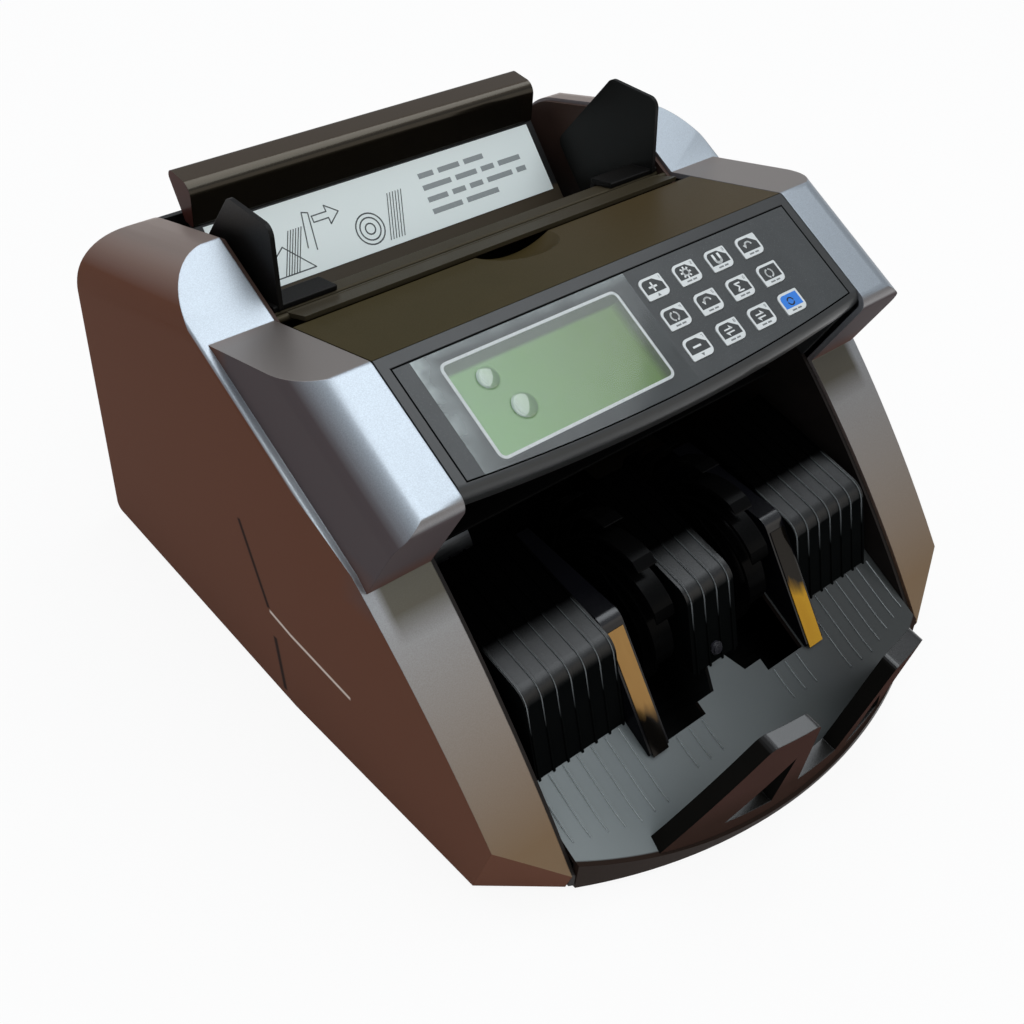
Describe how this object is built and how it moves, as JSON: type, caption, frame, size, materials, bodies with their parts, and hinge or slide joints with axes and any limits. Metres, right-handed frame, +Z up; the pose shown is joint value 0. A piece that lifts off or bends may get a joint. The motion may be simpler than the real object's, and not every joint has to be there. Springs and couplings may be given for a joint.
{
  "type": "banknote counter",
  "caption": "Desktop banknote counter: sloped hopper with sliding guides, tilted keypad and display, vaned stacker wheels and a ribbed tray with a winged stop between silver side covers.",
  "frame": {"origin": "middle of the machine on the standing plane", "axes": "+Z up, -Y towards the operator, +X to the operator's right"},
  "size_m": [0.288, 0.3368, 0.1967],
  "materials": {
    "silver_cover": "silver flake paint on moulded plastic",
    "sheet_steel": "zinc plated sheet",
    "dark_steel": "black painted sheet",
    "black_plastic": "fine grain",
    "foot_rubber": "matt",
    "rocker_plastic": "gloss",
    "bright_steel": "ground",
    "panel_plastic": "satin",
    "head_plastic": "fine grain",
    "overlay_print": "speckled print",
    "display": "reflective display",
    "clear_film": "clear film",
    "board": "solder mask",
    "gloss_black": "gloss",
    "label": "printed label",
    "roller_rubber": "matt",
    "polished_strip": "polished",
    "tray_plastic": "satin",
    "stop_plastic": "gloss",
    "lens_plastic": "dark window",
    "coil_steel": "varnished",
    "motor_steel": "drawn can",
    "key_black": "printed film",
    "key_blue": "printed film"
  },
  "bodies": {
    "machine": {"base_plate": "sheet_steel", "rubber_feet": "foot_rubber", "left_frame": "dark_steel", "right_frame": "dark_steel", "left_cover": "silver_cover", "right_cover": "silver_cover", "rear_panel": "black_plastic", "power_inlet": "black_plastic", "cover_screws": "bright_steel", "panel_bezel": "panel_plastic", "head_cover": "head_plastic", "panel_overlay": "overlay_print", "display_module": "display", "display_film": "clear_film", "key_board": "board", "hopper_plate": "black_plastic", "hopper_bar": "gloss_black", "hopper_label": "label", "hopper_rail": "head_plastic", "path_plate": "black_plastic", "upper_guide": "black_plastic", "stacker_guide": "black_plastic", "left_fin": "gloss_black", "right_fin": "gloss_black", "left_strip": "polished_strip", "right_strip": "polished_strip", "stacker_tray": "tray_plastic", "front_stop": "stop_plastic", "pocket_sensor": "lens_plastic", "main_board": "board", "transformer": "coil_steel", "main_motor": "motor_steel", "motor_belt": "roller_rubber", "pickup_belt": "roller_rubber", "stacker_belt": "roller_rubber"},
    "flap": {"feed_flap": "head_plastic"},
    "guide_left": {"left_guide": "gloss_black"},
    "guide_right": {"right_guide": "gloss_black"},
    "rocker": {"power_rocker": "rocker_plastic"},
    "motor_rotor": {"motor_pulley": "bright_steel"},
    "feed_rotor": {"feed_shaft": "bright_steel", "feed_rollers": "roller_rubber"},
    "pickup_rotor": {"pickup_shaft": "bright_steel", "pickup_rollers": "roller_rubber"},
    "stacker_rotor": {"stacker_shaft": "bright_steel", "left_wheel": "gloss_black", "right_wheel": "gloss_black"},
    "key_1": {"key_1": "key_black"},
    "key_2": {"key_2": "key_black"},
    "key_3": {"key_3": "key_black"},
    "key_4": {"key_4": "key_black"},
    "key_5": {"key_5": "key_black"},
    "key_6": {"key_6": "key_black"},
    "key_7": {"key_7": "key_black"},
    "key_8": {"key_8": "key_black"},
    "key_9": {"key_9": "key_black"},
    "key_10": {"key_10": "key_black"},
    "key_11": {"key_11": "key_black"},
    "key_12": {"key_12": "key_blue"}
  },
  "joints": [
    {"name": "flap_hinge", "type": "hinge", "parent": "machine", "child": "flap", "pos_m": [0, 0.06209, 0.16028], "axis": [-1, 0, 0], "range_deg": [0, 60]},
    {"name": "left_guide_slide", "type": "slide", "parent": "machine", "child": "guide_left", "axis": [1, 0, 0], "range_m": [0, 0.035]},
    {"name": "right_guide_slide", "type": "slide", "parent": "machine", "child": "guide_right", "axis": [-1, 0, 0], "range_m": [0, 0.035]},
    {"name": "rocker_hinge", "type": "hinge", "parent": "machine", "child": "rocker", "pos_m": [-0.0435, 0.16299, 0.04], "axis": [-1, 0, 0], "range_deg": [0, 16]},
    {"name": "motor_spin", "type": "hinge", "parent": "machine", "child": "motor_rotor", "pos_m": [0, 0.02249, 0.042], "axis": [1, 0, 0], "continuous": true},
    {"name": "feed_spin", "type": "hinge", "parent": "machine", "child": "feed_rotor", "pos_m": [0, 0.07649, 0.08], "axis": [1, 0, 0], "continuous": true},
    {"name": "pickup_spin", "type": "hinge", "parent": "machine", "child": "pickup_rotor", "pos_m": [0, 0.12066, 0.10967], "axis": [1, 0, 0], "continuous": true},
    {"name": "stacker_spin", "type": "hinge", "parent": "machine", "child": "stacker_rotor", "pos_m": [0, -0.05151, 0.054], "axis": [1, 0, 0], "continuous": true},
    {"name": "key_1_press", "type": "slide", "parent": "machine", "child": "key_1", "axis": [0, 0.4344, -0.9007], "range_m": [0, 0.0005], "stiffness_N_per_m": 600},
    {"name": "key_2_press", "type": "slide", "parent": "machine", "child": "key_2", "axis": [0, 0.4344, -0.9007], "range_m": [0, 0.0005], "stiffness_N_per_m": 600},
    {"name": "key_3_press", "type": "slide", "parent": "machine", "child": "key_3", "axis": [0, 0.4344, -0.9007], "range_m": [0, 0.0005], "stiffness_N_per_m": 600},
    {"name": "key_4_press", "type": "slide", "parent": "machine", "child": "key_4", "axis": [0, 0.4344, -0.9007], "range_m": [0, 0.0005], "stiffness_N_per_m": 600},
    {"name": "key_5_press", "type": "slide", "parent": "machine", "child": "key_5", "axis": [0, 0.4344, -0.9007], "range_m": [0, 0.0005], "stiffness_N_per_m": 600},
    {"name": "key_6_press", "type": "slide", "parent": "machine", "child": "key_6", "axis": [0, 0.4344, -0.9007], "range_m": [0, 0.0005], "stiffness_N_per_m": 600},
    {"name": "key_7_press", "type": "slide", "parent": "machine", "child": "key_7", "axis": [0, 0.4344, -0.9007], "range_m": [0, 0.0005], "stiffness_N_per_m": 600},
    {"name": "key_8_press", "type": "slide", "parent": "machine", "child": "key_8", "axis": [0, 0.4344, -0.9007], "range_m": [0, 0.0005], "stiffness_N_per_m": 600},
    {"name": "key_9_press", "type": "slide", "parent": "machine", "child": "key_9", "axis": [0, 0.4344, -0.9007], "range_m": [0, 0.0005], "stiffness_N_per_m": 600},
    {"name": "key_10_press", "type": "slide", "parent": "machine", "child": "key_10", "axis": [0, 0.4344, -0.9007], "range_m": [0, 0.0005], "stiffness_N_per_m": 600},
    {"name": "key_11_press", "type": "slide", "parent": "machine", "child": "key_11", "axis": [0, 0.4344, -0.9007], "range_m": [0, 0.0005], "stiffness_N_per_m": 600},
    {"name": "key_12_press", "type": "slide", "parent": "machine", "child": "key_12", "axis": [0, 0.4344, -0.9007], "range_m": [0, 0.0005], "stiffness_N_per_m": 600}
  ],
  "couplings": [
    {"joint": "feed_spin", "follows": "motor_spin", "ratio": 0.64286},
    {"joint": "pickup_spin", "follows": "motor_spin", "ratio": 0.64286},
    {"joint": "stacker_spin", "follows": "motor_spin", "ratio": 0.64286}
  ]
}
